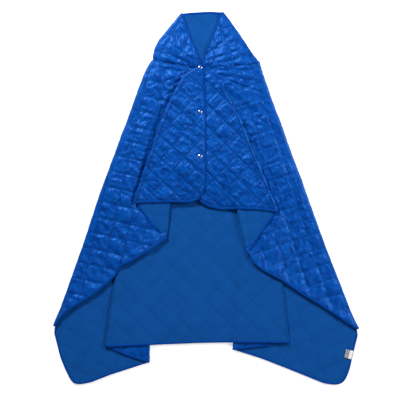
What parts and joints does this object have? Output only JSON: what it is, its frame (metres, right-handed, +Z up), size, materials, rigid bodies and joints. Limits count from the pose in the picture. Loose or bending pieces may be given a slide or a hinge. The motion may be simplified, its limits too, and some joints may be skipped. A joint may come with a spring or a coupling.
{
  "type": "quilted snap blanket",
  "caption": "Rectangular quilted blanket with fleece lining and front snaps, worn as a hooded cape, laid flat and folded into pleats.",
  "frame": {"origin": "on the surface it lies on, under the middle of the laid-out blanket's box", "axes": "+Y towards the hood, +Z up out of the surface it lies on, +X towards the side with the care label"},
  "size_m": [1.1424, 1.3932, 0.0452],
  "materials": {
    "nylon_shell": "glossy taffeta, quilted",
    "fleece_lining": "matte brushed fleece",
    "batting": "bonded polyester wadding",
    "edge_binding": "folded nylon tape",
    "snap_cap": "glossy",
    "snap_ring": "glossy",
    "label_satin": "satin",
    "thread": "twisted polyester"
  },
  "bodies": {
    "root": {"back_shell": "nylon_shell", "back_batting": "batting", "back_lining": "fleece_lining", "back_binding": "edge_binding", "left_side_shell": "nylon_shell", "left_side_batting": "batting", "left_side_lining": "fleece_lining", "left_side_binding": "edge_binding", "right_side_shell": "nylon_shell", "right_side_batting": "batting", "right_side_lining": "fleece_lining", "right_side_binding": "edge_binding", "neck_snap_cap": "snap_cap", "neck_snap_socket": "snap_ring", "neck_snap_stud": "snap_ring", "neck_snap_back_cap": "snap_cap", "care_label_seam": "thread"},
    "left_front_flap": {"left_flap_shell": "nylon_shell", "left_flap_batting": "batting", "left_flap_lining": "fleece_lining", "left_flap_binding": "edge_binding", "upper_snap_cap": "snap_cap", "upper_snap_socket": "snap_ring", "lower_snap_cap": "snap_cap", "lower_snap_socket": "snap_ring"},
    "right_front_flap": {"right_flap_shell": "nylon_shell", "right_flap_batting": "batting", "right_flap_lining": "fleece_lining", "right_flap_binding": "edge_binding", "upper_snap_stud": "snap_ring", "upper_snap_back_cap": "snap_cap", "lower_snap_stud": "snap_ring", "lower_snap_back_cap": "snap_cap"},
    "care_label_tab": {"care_label": "label_satin"}
  },
  "joints": [
    {"name": "left_flap_open", "type": "hinge", "parent": "root", "child": "left_front_flap", "pos_m": [-0.17, 0.2195, 0.0333], "axis": [-0.3714, -0.9285, 0], "range_deg": [0, 150]},
    {"name": "right_flap_open", "type": "hinge", "parent": "root", "child": "right_front_flap", "pos_m": [0.15625, 0.20275, 0.03015], "axis": [-0.3939, 0.9191, 0], "range_deg": [0, 37.5]},
    {"name": "care_label_turn", "type": "hinge", "parent": "root", "child": "care_label_tab", "pos_m": [0.545, -0.604, 0.0069], "axis": [0.225, 0.9744, 0], "range_deg": [0, 150]}
  ],
  "couplings": [
    {"joint": "right_flap_open", "follows": "left_flap_open", "ratio": 0.25}
  ]
}
